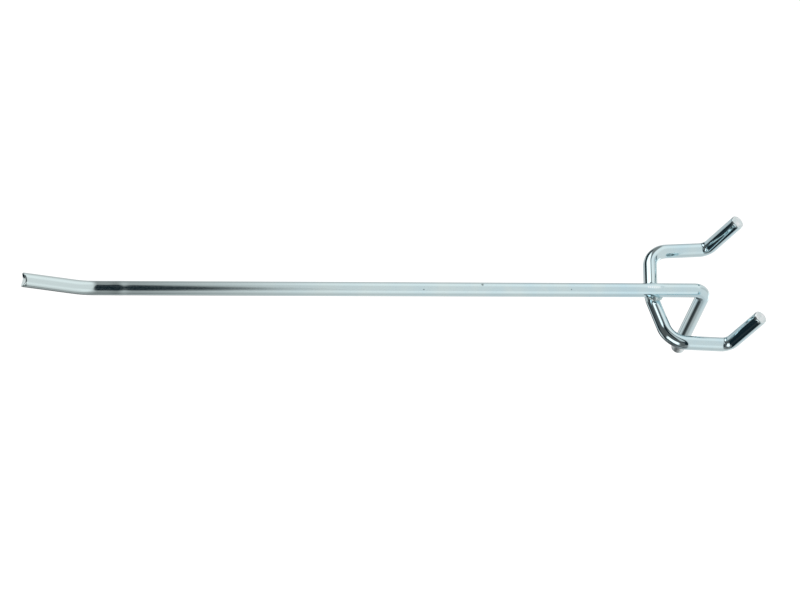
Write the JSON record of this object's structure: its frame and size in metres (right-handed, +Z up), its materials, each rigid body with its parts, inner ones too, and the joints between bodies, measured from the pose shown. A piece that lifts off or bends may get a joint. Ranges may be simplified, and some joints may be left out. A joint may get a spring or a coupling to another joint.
{
  "type": "pegboard hook",
  "caption": "Bright plated wire hook for pegboard: a long arm with a raised tip and a rear leg, cross-welded to a bowed yoke whose ends bend up into prongs.",
  "frame": {"origin": "on the board's front face, midway between the two prong holes, level with the wire that enters them", "axes": "+X to the right along the row of holes, +Y into the board, -Y out along the arm, +Z up"},
  "size_m": [0.0284, 0.1602, 0.0311],
  "materials": {
    "plated_wire": "bright bluish zinc plating on drawn wire",
    "plated_weld": "zinc plating over weld flash, slightly dull"
  },
  "bodies": {
    "root": {"hook_arm": "plated_wire", "prong_wire": "plated_wire", "weld_nugget": "plated_weld"}
  },
  "joints": []
}
